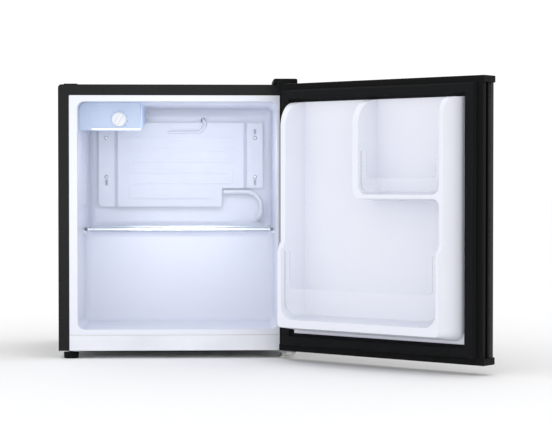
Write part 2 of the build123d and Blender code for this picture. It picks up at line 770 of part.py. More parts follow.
with BuildPart() as top_hinge_pin:
    with BuildSketch(Plane.XY.offset(DOOR_TOP - TOP_CAP + 1)):
        with Locations((HINGE_X, HINGE_Y)):
            Circle(PIN_R)
    extrude(amount=TOP + 2.5 - DOOR_TOP + TOP_CAP - 1)
    with BuildSketch(Plane.XY.offset(TOP + 2.5)):
        with Locations((HINGE_X, HINGE_Y)):
            Circle(6)
    extrude(amount=2)
    chamfer(top_hinge_pin.edges().group_by(Axis.Z)[0], 1)
save(top_hinge_pin, "top_hinge_pin")

with BuildPart() as top_hinge_screws:
    with BuildSketch(Plane.XY.offset(TOP + 2.5)):
        with Locations(*TOP_BOLTS):
            RegularPolygon(5, 6)
    extrude(amount=3.2)
    with BuildSketch(Plane.XY.offset(TOP)):
        with Locations(*TOP_BOLTS):
            Circle(2.5)
    extrude(amount=2.5)
save(top_hinge_screws, "top_hinge_screws")

with BuildPart() as top_hinge_cover:
    with BuildSketch(Plane.XY.offset(TOP + 0.2)) as lid:
        span(HALF - 45, HALF - 0.2, HINGE_Y - 13, HINGE_BACK + 6)
        fillet(lid.vertices(), 6)
    extrude(amount=8.8)
    fillet(top_hinge_cover.faces().sort_by(Axis.Z)[-1].edges(), 3)
    with BuildSketch(Plane.XY.offset(TOP + 0.2)) as room:
        span(HALF - 43.2, HALF - 2, HINGE_Y - 11.2, HINGE_BACK + 4.2)
        fillet(room.vertices(), 4.2)
    extrude(amount=7, mode=Mode.SUBTRACT)
save(top_hinge_cover, "top_hinge_cover")

LOWER_BOLTS = [(HINGE_X - 22, -158), (HINGE_X + 2, -158)]
with BuildPart() as lower_hinge_bracket:
    add(hinge_plate(3, BASE - 3, HINGE_BACK))
    with BuildSketch(Plane.XY.offset(BASE - 3)):
        with Locations((FOOT_X, FOOT_Y)):
            Circle(FOOT_STUD + PIN_PLAY)
        with Locations((HINGE_X, HINGE_Y)):
            Circle(PIN_R)
        with Locations(*LOWER_BOLTS):
            Circle(2.6)
    extrude(amount=3, mode=Mode.SUBTRACT)
save(lower_hinge_bracket, "lower_hinge_bracket")

with BuildPart() as lower_hinge_pin:
    with BuildSketch(Plane.XY.offset(BASE - 3)):
        with Locations((HINGE_X, HINGE_Y)):
            Circle(PIN_R)
    extrude(amount=DOOR_BOTTOM + BOTTOM_CAP - BASE + 2)
    with BuildSketch(Plane.XY.offset(BASE - 5)):
        with Locations((HINGE_X, HINGE_Y)):
            Circle(6)
    extrude(amount=2)
    chamfer(lower_hinge_pin.edges().group_by(Axis.Z)[-1], 1)
save(lower_hinge_pin, "lower_hinge_pin")

with BuildPart() as lower_hinge_screws:
    with BuildSketch(Plane.XY.offset(BASE - 6.2)):
        with Locations(*LOWER_BOLTS):
            RegularPolygon(5, 6)
    extrude(amount=3.2)
    with BuildSketch(Plane.XY.offset(BASE - 3)):
        with Locations(*LOWER_BOLTS):
            Circle(2.5)
    extrude(amount=3)
save(lower_hinge_screws, "lower_hinge_screws")

with BuildPart() as hinge_washer:
    with BuildSketch(Plane.XY.offset(BASE)):
        with Locations((HINGE_X, HINGE_Y)):
            Circle(7.5)
            Circle(PIN_R + 0.02, mode=Mode.SUBTRACT)
    extrude(amount=DOOR_BOTTOM - BASE - 0.3)
save(hinge_washer, "hinge_washer")

# ---------------------------------------------------------------- door
PANEL_LOW = DOOR_BOTTOM + BOTTOM_CAP
PANEL_HIGH = DOOR_TOP - TOP_CAP
WRAP_IN = -4.0  # where the steel stops and the edge trims begin


def steel_outline(inset):
    """The plan outline of the steel-clad half of the door, on a door_plan plane."""
    with BuildSketch(mode=Mode.PRIVATE) as plan:
        span(DOOR_NEAR + inset, DOOR_FAR - inset, -WRAP_IN, -DOOR_OUT - inset)
        fillet(plan.vertices().group_by(Axis.Y)[-1], 6 - inset)
    add(plan.sketch_local)


with BuildPart() as door_panel:
    with BuildSketch(door_plan(PANEL_LOW)):
        steel_outline(0)
    extrude(amount=PANEL_HIGH - PANEL_LOW)
    with BuildSketch(door_plan(PANEL_LOW)):
        steel_outline(SHEET)
    extrude(amount=PANEL_HIGH - PANEL_LOW, mode=Mode.SUBTRACT)
save(door_panel, "door_panel")


def edge_trim(edge, inward):
    """A plastic profile down one edge of the door, with a narrow groove along it."""
    inner = edge + inward * TRIM
    with BuildPart() as profile:
        with BuildSketch(door_face(WRAP_IN)):
            span(edge, inner, PANEL_LOW, PANEL_HIGH)
        extrude(amount=DOOR_IN - WRAP_IN)
        outside = profile.faces().sort_by(Axis((0, 0, 0), ALONG))
        outside = outside[-1] if inward < 0 else outside[0]
        fillet(outside.edges().filter_by(Axis.Z), 2.5)
        with BuildSketch(door_face(3.5)):
            span(edge, edge + inward * 6.5, PANEL_LOW, PANEL_HIGH)
        extrude(amount=7, mode=Mode.SUBTRACT)
    return profile


free_edge_trim = edge_trim(DOOR_FAR, -1)
save(free_edge_trim, "free_edge_trim")
hinge_edge_trim = edge_trim(DOOR_NEAR, 1)
save(hinge_edge_trim, "hinge_edge_trim")


def end_cap(low, high, top):
    """A moulded cap over one end of the door, hollow towards the foam."""
    with BuildPart() as cap:
        with BuildSketch(door_face(DOOR_OUT - CAP_PROUD)):
            span(DOOR_NEAR, DOOR_FAR + CAP_PROUD, low, high)
        extrude(amount=DOOR_IN - DOOR_OUT + CAP_PROUD)
        corners = cap.edges().filter_by(Axis.Z).sort_by(Axis((0, 0, 0), ACROSS))[0:2]
        fillet(corners, 9)
        outside = cap.faces().sort_by(Axis.Z)[-1 if top else 0]
        fillet(outside.edges(), 1.6)
        with BuildSketch(door_face(DOOR_OUT + 3)):
            ledge = (low - 1, high - 4) if top else (low + 4, high + 1)
            span(10, DOOR_FAR - 24, *ledge)
        extrude(amount=DOOR_IN - DOOR_OUT - 6, mode=Mode.SUBTRACT)
        with BuildSketch(Plane.XY.offset(low - 1)):
            with Locations((HINGE_X, HINGE_Y)):
                Circle(6)
            with Locations(spare_hinge()):
                Circle(5)
        extrude(amount=high - low + 2, mode=Mode.SUBTRACT)
    return cap


def spare_hinge():
    """The plan position of the unused hinge hole at the free end of the door."""
    away = DOOR_NEAR + DOOR_FAR
    return (HINGE_X + ALONG.X * away, HINGE_Y + ALONG.Y * away)


door_top_cap = end_cap(PANEL_HIGH, DOOR_TOP, True)
save(door_top_cap, "door_top_cap")
door_bottom_cap = end_cap(DOOR_BOTTOM, PANEL_LOW, False)
save(door_bottom_cap, "door_bottom_cap")

with BuildPart() as door_bushings:
    for low, high in ((DOOR_BOTTOM, PANEL_LOW), (PANEL_HIGH, DOOR_TOP)):
        with BuildSketch(Plane.XY.offset(low)):
            with Locations((HINGE_X, HINGE_Y)):
                Circle(6)
                Circle(PIN_R + PIN_PLAY, mode=Mode.SUBTRACT)
        extrude(amount=high - low)
save(door_bushings, "door_bushings")

with BuildPart() as spare_hinge_plugs:
    for low, high in ((DOOR_BOTTOM, PANEL_LOW - 3), (PANEL_HIGH + 3, DOOR_TOP)):
        with BuildSketch(Plane.XY.offset(low)):
            with Locations(spare_hinge()):
                Circle(5)
        extrude(amount=high - low)
save(spare_hinge_plugs, "spare_hinge_plugs")


def fade(near, far, radius):
    """What the rounded upper end takes off the raised liner between two places."""
    crest = DOOR_IN + POD_SHALLOW
    with BuildPart() as cutter:
        with BuildSketch(door_section(near)):
            span(POD_HIGH - radius, POD_HIGH + 40, crest - radius, crest + 40)
            with Locations((POD_HIGH - radius, crest - radius)):
                Circle(radius, mode=Mode.SUBTRACT)
        extrude(amount=far - near)
    return cutter.part


def pod():
    """The raised body of the door liner as one block, before its pockets."""
    beyond = 20.0
    with BuildPart() as body:
        with BuildSketch(door_face(DOOR_IN)) as foot:
            span(POD_NEAR, POD_FAR, POD_LOW, POD_HIGH + 30)
            fillet(foot.vertices().group_by(Axis.Y)[0], 18)
        extrude(amount=POD_DEEP, taper=POD_DRAFT)
        with BuildSketch(door_section(POD_NEAR - beyond)):
            # the shallower part above the step
            with BuildLine():
                Polyline(
                    (POD_STEP - 8, DOOR_IN + POD_DEEP),
                    (POD_STEP + 8, DOOR_IN + POD_SHALLOW),
                    (POD_HIGH + 60, DOOR_IN + POD_SHALLOW),
                    (POD_HIGH + 60, DOOR_IN + POD_DEEP + 20),
                    (POD_STEP - 8, DOOR_IN + POD_DEEP + 20), close=True,
                )
            make_face()
        extrude(amount=POD_FAR - POD_NEAR + 2 * beyond, mode=Mode.SUBTRACT)
        with BuildSketch(door_face(DOOR_IN - 5)):
            span(POD_NEAR - beyond, POD_FAR + beyond, POD_HIGH, POD_HIGH + 90)
        extrude(amount=POD_DEEP + beyond, mode=Mode.SUBTRACT)
        add(fade(POD_NEAR - beyond, LEDGE_NEAR, 46), mode=Mode.SUBTRACT)
        add(fade(LEDGE_NEAR, POD_FAR + beyond, 30), mode=Mode.SUBTRACT)
    return body.part


POCKET_NEAR = 49.0
POCKET_FAR = 375.0
DIVIDER = (192.0, 213.0)
LEDGE = (297.0, 312.0)
LEDGE_NEAR = 290.0  # the upper ends are rounded less from here to the free edge
POCKET_FLOOR = 87.0
POCKET_DRAFT = -4.5


def pockets():
    """The two open spaces of the door liner, down to the level of its flange."""
    with BuildPart() as spaces:
        with BuildSketch(door_face(DOOR_IN)) as plan:
            sky = POD_HIGH + 30
            with BuildLine():
                Polyline(
                    (POCKET_NEAR, POCKET_FLOOR), (POCKET_FAR, POCKET_FLOOR),
                    (POCKET_FAR, LEDGE[0]), (DIVIDER[0], LEDGE[0]), (DIVIDER[0], sky),
                    (POCKET_NEAR, sky), close=True,
                )
            make_face()
            low = plan.vertices().group_by(Axis.Y)[0]
            fillet(low, 20)
            inner = plan.vertices().sort_by_distance((DIVIDER[0], LEDGE[0]))[0]
            fillet(inner, 18)
            outer = plan.vertices().sort_by_distance((POCKET_FAR, LEDGE[0]))[0]
            fillet(outer, 10)
        extrude(amount=POD_DEEP + 10, taper=POCKET_DRAFT)
        with BuildSketch(door_face(DOOR_IN)) as upper:
            span(DIVIDER[1], POCKET_FAR, LEDGE[1], POD_HIGH + 30)
            fillet(upper.vertices().group_by(Axis.Y)[0], 12)
        extrude(amount=POD_DEEP + 10, taper=POCKET_DRAFT)
    return spaces.part


with BuildPart() as door_liner:
    with BuildSketch(door_face(DOOR_IN - LINER)):
        span(DOOR_NEAR + TRIM, DOOR_FAR - TRIM, PANEL_LOW, PANEL_HIGH)
    extrude(amount=LINER)
    add(pod())
    add(pockets(), mode=Mode.SUBTRACT)
save(door_liner, "door_liner")

with BuildPart() as door_foam:
    with BuildSketch(door_plan(PANEL_LOW)):
        steel_outline(SHEET)
    extrude(amount=PANEL_HIGH - PANEL_LOW)
    with BuildSketch(door_face(WRAP_IN)):
        span(DOOR_NEAR + TRIM, DOOR_FAR - TRIM, PANEL_LOW, PANEL_HIGH)
    extrude(amount=DOOR_IN - LINER - WRAP_IN)
    add(door_liner.part, mode=Mode.SUBTRACT)
save(door_foam, "door_foam")

GASKET_LOW, GASKET_HIGH = POD_LOW - 5 - GASKET_W, POD_HIGH + 1 + GASKET_W


def ring(outer_inset, inner_inset):
    """A frame round the door's inner face, between two distances from its edge."""
    left, right = DOOR_NEAR + TRIM, DOOR_FAR - TRIM
    span(left + outer_inset, right - outer_inset,
         GASKET_LOW + outer_inset, GASKET_HIGH - outer_inset)
    span(left + inner_inset, right - inner_inset,
         GASKET_LOW + inner_inset, GASKET_HIGH - inner_inset, mode=Mode.SUBTRACT)


with BuildPart() as door_gasket:
    with BuildSketch(door_face(DOOR_IN)):
        ring(0, GASKET_W)
    extrude(amount=3.2)
    with BuildSketch(door_face(DOOR_IN)):
        ring(2, 20)
    extrude(amount=GASKET_H)
    crest = door_gasket.faces().filter_by(
        lambda f: abs((f.center() - Vector(HINGE_X, HINGE_Y, 0)).dot(ACROSS)
                      - DOOR_IN - GASKET_H) < 0.1
    )
    fillet(crest.edges(), 1.8)
    with BuildSketch(door_face(DOOR_IN + 5)):
        ring(7, 15)
    extrude(amount=2.5, mode=Mode.SUBTRACT)
save(door_gasket, "door_gasket")

with BuildPart() as gasket_magnets:
    with BuildSketch(door_face(DOOR_IN + 5)):
        ring(7, 15)
        left, right = DOOR_NEAR + TRIM, DOOR_FAR - TRIM
        for x in (left + 15.5, right - 15.5):
            span(x - 0.5, x + 0.5, GASKET_LOW, GASKET_HIGH, mode=Mode.SUBTRACT)
    extrude(amount=2.5)
save(gasket_magnets, "gasket_magnets")


def guard(depth, near, far, low, high, arms, corner):
    """A clear retaining plate across a door pocket, with an arm up each end."""
    with BuildPart() as plate:
        with BuildSketch(door_face(depth)) as front:
            span(near, far, low, max(arms))
            with BuildSketch(mode=Mode.PRIVATE) as dip:
                span(near + 11, far - 11, high, max(arms) + 30)
                fillet(dip.vertices().group_by(Axis.Y)[0], 9)
            add(dip.sketch_local, mode=Mode.SUBTRACT)
            span(far - 20, far + 1, arms[1], max(arms) + 30, mode=Mode.SUBTRACT)
            fillet(front.vertices().group_by(Axis.Y)[-1], 3)
            fillet(front.vertices().group_by(Axis.Y)[0], corner)
        extrude(amount=2.2)
    return plate


lower_guard = guard(
    DOOR_IN + 52, POCKET_NEAR - 3.8, POCKET_FAR + 3.6, 92, 138, (206, 205), 22
)
save(lower_guard, "lower_guard")
upper_guard = guard(
    DOOR_IN + 43, DIVIDER[1] - 3, POCKET_FAR + 3.2, 313, 336, (384, 370), 15
)
save(upper_guard, "upper_guard")
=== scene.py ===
"""Finishes, fine detail, light and camera for a compact cube refrigerator, in metres."""

import json
import math

import bmesh
import bpy
from bpy.props import FloatProperty, FloatVectorProperty, IntProperty, PointerProperty
from mathutils import Matrix, Vector


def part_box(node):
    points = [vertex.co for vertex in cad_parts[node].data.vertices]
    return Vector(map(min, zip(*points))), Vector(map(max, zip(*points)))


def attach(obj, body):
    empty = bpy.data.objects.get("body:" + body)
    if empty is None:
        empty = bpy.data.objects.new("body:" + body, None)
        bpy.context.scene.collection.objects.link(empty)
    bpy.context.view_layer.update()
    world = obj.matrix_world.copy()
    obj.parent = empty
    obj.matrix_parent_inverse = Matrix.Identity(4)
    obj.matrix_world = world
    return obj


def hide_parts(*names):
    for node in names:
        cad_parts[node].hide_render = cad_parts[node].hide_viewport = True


bl_info = {
    "name": "Cube Refrigerator",
    "version": (1, 0, 0),
    "blender": (4, 5, 0),
    "location": "View3D > Sidebar > Fridge",
    "description": "Finishes the pieces of a small refrigerator and sets up its studio",
    "category": "Object",
}

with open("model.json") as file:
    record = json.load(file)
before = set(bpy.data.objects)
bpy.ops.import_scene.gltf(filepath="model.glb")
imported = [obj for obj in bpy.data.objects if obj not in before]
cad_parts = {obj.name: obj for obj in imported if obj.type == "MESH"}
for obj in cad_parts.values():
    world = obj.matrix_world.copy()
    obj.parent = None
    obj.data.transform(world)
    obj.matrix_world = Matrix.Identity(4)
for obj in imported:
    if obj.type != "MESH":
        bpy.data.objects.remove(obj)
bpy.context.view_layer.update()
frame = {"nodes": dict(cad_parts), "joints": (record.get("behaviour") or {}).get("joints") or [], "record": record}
MM = 0.001

HINGE_JOINT = next(j for j in frame["joints"] if j["name"] == "door_hinge")
KNOB_JOINT = next(j for j in frame["joints"] if j["name"] == "knob_turn")
HINGE = Vector(HINGE_JOINT["pos_m"])
OPEN = math.radians(-HINGE_JOINT["range_deg"][0])
ALONG = Vector((-math.cos(OPEN), -math.sin(OPEN), 0))  # hinge to free edge
ACROSS = Vector((-math.sin(OPEN), math.cos(OPEN), 0))  # outer to inner face
UP = Vector((0, 0, 1))
FRONTWARD = Vector((0, -1, 0))

SHARP_ANGLE = math.radians(38)  # edges that turn more than this stay crisp
MAGNET_WIDTH = 10.0 * MM  # the strip inside the door seal
DIAL_SINK = 1.0 * MM  # the dial plate, behind the face of the control box
MARK_SIDES = 16
MARK_DOME = ((1.0, 0.0), (0.92, 0.22), (0.6, 0.42), (0, 0.5))  # over the mark's radius
HEAD_HEIGHT = 2.6 * MM  # evaporator screws
HEAD_CROWN = ((1.0, 0.0), (1.0, 0.3), (0.93, 0.6), (0.75, 0.84), (0.48, 0.97), (0, 1.0))
RECESS_REACH = 1.15  # length of a recess, over the head's radius
RECESS_SINK = 0.95  # height of a recess's middle, over the head's height

ZINC = (0.62, 0.62, 0.6)
COPPER = (0.68, 0.34, 0.2)
GALVANISED = (0.56, 0.57, 0.58)
GREY_RUBBER = (0.2, 0.21, 0.27)
MAGNET_BROWN = (0.06, 0.05, 0.045)
FOAM_YELLOW = (0.82, 0.7, 0.42)
DIAL_INK = (0.33, 0.35, 0.45)
LINES_ALONG_X = (40.0, 900.0, 900.0)  # noise features per metre on each axis
LINES_ALONG_Z = (900.0, 900.0, 40.0)

FLOOR_SQUARES = 8
LIGHTS_AIM = Vector((0.1, 0.0, 0.26))
KEY_PLACE, KEY_SIZE = (1.5, -3.4, 0.5), 1.6
FILL_PLACE, FILL_SIZE, FILL_SHARE = (-2.4, -2.6, 1.4), 2.0, 0.3  # share of the key's power
TOP_PLACE, TOP_SIZE, TOP_SHARE = (0.0, -0.2, 3.2), 2.4, 0.4
SNOOT_PLACE, SNOOT_ANGLE, SNOOT_SOFT = (-0.05, -3.4, 0.3), math.radians(8.4), 0.25
SNOOT_BLEND = 0.9
SNOOT_AIM_DOWN = 0.4  # share of the liner's height, from its top
INSIDE_WIDTH = 0.8  # share of the liner's width
INSIDE_DEPTH, INSIDE_BACK, INSIDE_DROP = 0.14, 0.06, 0.045
INSIDE_AIM_UP = 0.3  # share of the liner's height, from its bottom
SENSOR_WIDTH = 36  # millimetres


# ---------------------------------------------------------------- shader tools
class Wire:
    """A shader value that can be written in ordinary sums."""

    def __init__(self, shader, socket):
        self.shader = shader
        self.socket = socket

    def sum(self, operation, *values):
        inputs = dict(enumerate(values))
        return self.shader.node("ShaderNodeMath", {"operation": operation}, inputs)

    def __add__(self, other):
        return self.sum("ADD", self, other)

    def __sub__(self, other):
        return self.sum("SUBTRACT", self, other)

    def __rsub__(self, other):
        return self.sum("SUBTRACT", other, self)

    def __mul__(self, other):
        return self.sum("MULTIPLY", self, other)

    def __abs__(self):
        return self.sum("ABSOLUTE", self)

    __radd__ = __add__
    __rmul__ = __mul__


class Shader:
    """One material, built around a single Principled surface."""

    def __init__(self, name, **constants):
        self.material = bpy.data.materials.new(name)
        self.material.use_nodes = True
        self.nodes = self.material.node_tree.nodes
        self.links = self.material.node_tree.links
        self.nodes.clear()
        self.surface = self.nodes.new("ShaderNodeBsdfPrincipled")
        output = self.nodes.new("ShaderNodeOutputMaterial")
        self.links.new(self.surface.outputs[0], output.inputs["Surface"])
        for socket, value in constants.items():
            label = socket.replace("_", " ").title().replace("Ior", "IOR")
            self.set(label, value)
        self.place = self.node("ShaderNodeTexCoord", output="Object")

    def set(self, socket, value):
        """Puts a constant or a wire on one of the surface's sockets."""
        self.plug(self.surface.inputs[socket], value)

    def plug(self, socket, value):
        if isinstance(value, Wire):
            self.links.new(value.socket, socket)
        elif socket.type == "RGBA" and len(value) == 3:
            socket.default_value = (*value, 1)
        else:
            socket.default_value = value

    def node(self, kind, settings=None, inputs=None, output=0):
        """Any node: its settings first, then the values or wires of its sockets."""
        made = self.nodes.new(kind)
        for key, value in (settings or {}).items():
            setattr(made, key, value)
        for key, value in (inputs or {}).items():
            self.plug(made.inputs[key], value)
        return Wire(self, made.outputs[output])

    def noise(self, scale, detail=2.0, vector=None):
        """Soft noise from 0 to 1; scale is in features per metre."""
        inputs = {"Scale": scale, "Detail": detail, "Vector": vector or self.place}
        return self.node("ShaderNodeTexNoise", inputs=inputs)

    def cells(self, scale, output="Distance"):
        inputs = {"Scale": scale, "Vector": self.place}
        return self.node("ShaderNodeTexVoronoi", inputs=inputs, output=output)

    def stretched(self, x, y, z):
        """The place on the piece, scaled by a different amount along each axis."""
        inputs = {0: self.place, 1: (x, y, z)}
        return self.node("ShaderNodeVectorMath", {"operation": "MULTIPLY"}, inputs)

    def along(self, direction):
        """How far the surface's own normal points along a direction, 0 to 1."""
        normal = self.node("ShaderNodeTexCoord", output="Normal")
        inputs = {0: normal, 1: direction}
        return abs(self.node(
            "ShaderNodeVectorMath", {"operation": "DOT_PRODUCT"}, inputs, "Value",
        ))

    def blend(self, factor, first, second):
        """A colour between two others."""
        inputs = {0: factor, 6: first, 7: second}
        return self.node("ShaderNodeMix", {"data_type": "RGBA"}, inputs, 2)

    def relief(self, height, depth, soften=0.0):
        """Bumps of the given depth in metres, over edges rounded by soften."""
        inputs = {"Height": height, "Distance": depth, "Strength": 1.0}
        if soften:
            inputs["Normal"] = self.node("ShaderNodeBevel", {"samples": 4}, {"Radius": soften})
        self.set("Normal", self.node("ShaderNodeBump", inputs=inputs))


def shade(colour, amount):
    """A colour made lighter or darker."""
    return tuple(min(1.0, channel * amount) for channel in colour[:3])


# ---------------------------------------------------------------- finishes
def painted_steel(name, colour, gloss, grain, shine=0.5):
    """Powder-coated sheet: a fine orange peel with handling marks in its gloss."""
    made = Shader(name, specular_ior_level=shine)
    peel = made.noise(grain, 3.0)
    cloud = made.noise(9.0, 4.0)
    smears = made.noise(1.0, 5.0, made.stretched(60.0, 60.0, 14.0))
    made.set("Base Color", made.blend(cloud, shade(colour, 0.86), shade(colour, 1.16)))
    made.set("Roughness", gloss + 0.1 * cloud + 0.08 * smears)
    made.relief(peel + 0.25 * cloud, 0.06 * MM, 0.5 * MM)
    return made.material


def moulded_plastic(name, colour, gloss, grain, shine=0.5):
    """Injection-moulded plastic with a spark-eroded grain."""
    made = Shader(name, specular_ior_level=shine)
    grainy = made.cells(grain)
    cloud = made.noise(12.0, 3.0)
    made.set("Base Color", made.blend(cloud, shade(colour, 0.93), shade(colour, 1.07)))
    made.set("Roughness", gloss + 0.12 * grainy + 0.05 * cloud)
    made.relief(grainy + 0.5 * made.noise(grain * 0.4, 3.0), 0.03 * MM, 0.4 * MM)
    return made.material


def formed_liner(name, colour):
    """Vacuum-formed sheet: glossy, with the faint waves that the mould leaves."""
    made = Shader(name, specular_ior_level=0.45, coat_roughness=0.18)
    waves = made.noise(7.0, 2.0)
    peel = made.noise(420.0, 2.0)
    made.set("Base Color", made.blend(waves, shade(colour, 0.975), shade(colour, 1.02)))
    made.set("Roughness", 0.3 + 0.08 * waves + 0.05 * peel)
    made.set("Coat Weight", 0.25 + 0.1 * waves)
    made.relief(waves * 6.0 + peel * 0.35, 0.05 * MM, 0.6 * MM)
    return made.material


def coated_aluminium(name, colour):
    """Roll-bonded sheet under thin enamel, with the mill's lines and a dry bloom."""
    made = Shader(name, specular_ior_level=0.5, metallic=0.0)
    rolled = made.noise(1.0, 4.0, made.stretched(30.0, 30.0, 900.0))
    bloom = made.noise(26.0, 5.0)
    made.set("Base Color", made.blend(bloom, shade(colour, 0.95), shade(colour, 1.03)))
    made.set("Roughness", 0.38 + 0.12 * bloom + 0.06 * rolled)
    made.relief(rolled + bloom, 0.05 * MM, 0.6 * MM)
    return made.material


def bare_metal(name, colour, roughness, brushed):
    """Plated or drawn metal, with fine lines along one axis and dull patches."""
    made = Shader(name, metallic=1.0)
    lines = made.noise(1.0, 3.0, made.stretched(*brushed))
    patches = made.noise(60.0, 4.0)
    made.set("Base Color", made.blend(patches, shade(colour, 0.8), shade(colour, 1.12)))
    made.set("Roughness", roughness + 0.14 * patches + 0.08 * lines)
    made.relief(lines + 0.5 * patches, 0.03 * MM, 0.3 * MM)
    return made.material


def galvanised_sheet(name, colour):
    """Hot-dipped sheet with its zinc spangle."""
    made = Shader(name, metallic=0.9)
    spangle = made.cells(90.0, "Color")
    flake = made.node("ShaderNodeSeparateColor", inputs={0: spangle})
    made.set("Base Color", made.blend(flake, shade(colour, 0.78), shade(colour, 1.15)))
    made.set("Roughness", 0.34 + 0.2 * flake)
    made.relief(flake + made.noise(500.0), 0.015 * MM, 0.3 * MM)
    return made.material


def soft_rubber(name, colour, roughness=0.55):
    """Extruded or moulded rubber with a dusty bloom."""
    made = Shader(name, specular_ior_level=0.1)
    bloom = made.noise(35.0, 5.0)
    made.set("Base Color", made.blend(bloom, shade(colour, 0.8), shade(colour, 1.3)))
    made.set("Roughness", roughness + 0.14 * bloom)
    made.relief(made.noise(900.0, 3.0) + bloom, 0.03 * MM)
    return made.material


def clear_sheet(name, colour, body, rim, face, painted_rim_light):
    """Glass or clear plastic: faint over its faces and denser along its rims, where the colour is scaled by the
    rim factor as painted light: a painted highlight above 1, painted shade below 1.
    """
    made = Shader(name, ior=1.5, specular_ior_level=0.6)
    facing = made.along(face)
    smears = made.noise(22.0, 4.0)
    # Painted light along the rims: where the face turns edge-on, the colour is scaled by the rim factor.
    made.set("Base Color", made.blend(facing, shade(colour, painted_rim_light), colour[:3]))
    made.set("Alpha", rim - (rim - body) * facing)
    made.set("Roughness", 0.04 + 0.08 * smears)
    made.relief(smears, 0.02 * MM)
    return made.material


def cut_foam(name, colour):
    """Rigid polyurethane foam: open cells and a slightly browned skin."""
    made = Shader(name)
    cells = made.cells(700.0)
    skin = made.noise(18.0, 4.0)
    made.set("Base Color", made.blend(skin, shade(colour, 0.75), shade(colour, 1.08)))
    made.set("Roughness", 0.85 + 0.1 * cells)
    made.relief(cells, 0.4 * MM)
    return made.material


def printed_mark(name, colour):
    """Pad-printed ink on the dial plate."""
    made = Shader(name)
    patchy = made.noise(800.0, 3.0)
    made.set("Base Color", made.blend(patchy, shade(colour, 0.85), shade(colour, 1.15)))
    made.set("Roughness", 0.5 + 0.1 * patchy)
    made.relief(patchy, 0.01 * MM)
    return made.material


def studio_paper(name, colour):
    """The pale floor."""
    made = Shader(name, specular_ior_level=0.2)
    fibre = made.noise(40.0, 3.0)
    made.set("Base Color", made.blend(fibre, shade(colour, 0.99), colour[:3]))
    made.set("Roughness", 0.8 + 0.1 * fibre)
    return made.material


def finish_of(slot, tint):
    """The material of one of the record's slots, named apart from the CAD's own."""
    name = f"{slot}_finish"
    recipes = {
        "black_steel": lambda: painted_steel(
            name, tint.black, gloss=0.36, grain=900.0, shine=0.25),
        "compressor_black": lambda: painted_steel(
            name, shade(tint.black, 0.7), gloss=0.18, grain=350.0),
        "white_steel": lambda: painted_steel(name, tint.white, gloss=0.3, grain=900.0),
        "black_plastic": lambda: moulded_plastic(
            name, tint.black, gloss=0.5, grain=1500.0, shine=0.1),
        "white_plastic": lambda: moulded_plastic(
            name, tint.fitting, gloss=0.4, grain=1700.0),
        "control_plastic": lambda: moulded_plastic(
            name, tint.control, gloss=0.4, grain=1700.0),
        "white_liner": lambda: formed_liner(name, tint.white),
        "evaporator_aluminium": lambda: coated_aluminium(name, tint.fitting),
        "zinc_steel": lambda: bare_metal(name, ZINC, 0.24, LINES_ALONG_X),
        "copper": lambda: bare_metal(name, COPPER, 0.26, LINES_ALONG_Z),
        "galvanised_steel": lambda: galvanised_sheet(name, GALVANISED),
        "black_rubber": lambda: soft_rubber(name, tint.rubber),
        "grey_rubber": lambda: soft_rubber(name, GREY_RUBBER),
        "magnet": lambda: soft_rubber(name, MAGNET_BROWN, 0.7),
        # Glass rims painted 1.3 times lighter: a painted highlight along the shelf's front edge.
        "shelf_glass": lambda: clear_sheet(
            name, tint.glass, body=0.2, rim=0.92, face=UP, painted_rim_light=1.3),
        # Guard rims painted darker: painted shade along the guards' top edges.
        "clear_plastic": lambda: clear_sheet(
            name, tint.guard, body=0.16, rim=0.5, face=ACROSS, painted_rim_light=0.72),
        "foam": lambda: cut_foam(name, FOAM_YELLOW),
    }
    return bpy.data.materials.get(name) or recipes[slot]()


def paint(context, nodes, finish=None):
    """Gives each named CAD node the finish of its own slot, or one special finish."""
    slot_of = {row["node"]: row["material_slot"] for row in frame["record"]["subparts"]}
    for node in nodes:
        material = finish_of(finish or slot_of[node], context.scene.fridge_finish)
        for holder in frame["nodes"][node].material_slots:
            holder.material = material


# ---------------------------------------------------------------- mesh tools
def mesh_piece(name, mesh, body, material):
    """Links a finished bmesh as a piece that rides on a body."""
    data = bpy.data.meshes.new(name)
    mesh.to_mesh(data)
    mesh.free()
    piece = bpy.data.objects.new(name, data)
    bpy.context.scene.collection.objects.link(piece)
    data.shade_smooth()
    data.set_sharp_from_angle(angle=SHARP_ANGLE)
    data.materials.append(material)
    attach(piece, body)
    return piece


def lathe(mesh, profile, centre, axis, count=28):
    """Spins (radius, height) pairs round an axis; a radius of 0 closes an end."""
    turn = axis.normalized().to_track_quat("Z", "Y").to_matrix()
    rings = []
    for radius, height in profile:
        steps = [0] if radius == 0 else range(count)
        ring = []
        for step in steps:
            angle = 2 * math.pi * step / count
            point = Vector((radius * math.cos(angle), radius * math.sin(angle), height))
            ring.append(mesh.verts.new(centre + turn @ point))
        rings.append(ring)
    for low, high in zip(rings, rings[1:]):
        for step in range(count):
            after = (step + 1) % count
            corners = [low[step % len(low)], low[after % len(low)],
                       high[after % len(high)], high[step % len(high)]]
            mesh.faces.new(list(dict.fromkeys(corners)))


def door_place(point):
    """Distance along, across and up the door of a point in the row frame."""
    offset = point - HINGE
    return offset.dot(ALONG), offset.dot(ACROSS), point.z


def door_point(along, across, z):
    place = HINGE + ALONG * along + ACROSS * across
    return Vector((place.x, place.y, z))


def door_extent(node):
    """Lowest and highest (along, across, up) of a CAD node of the door."""
    places = [door_place(v.co) for v in frame["nodes"][node].data.vertices]
    return [min(axis) for axis in zip(*places)], [max(axis) for axis in zip(*places)]


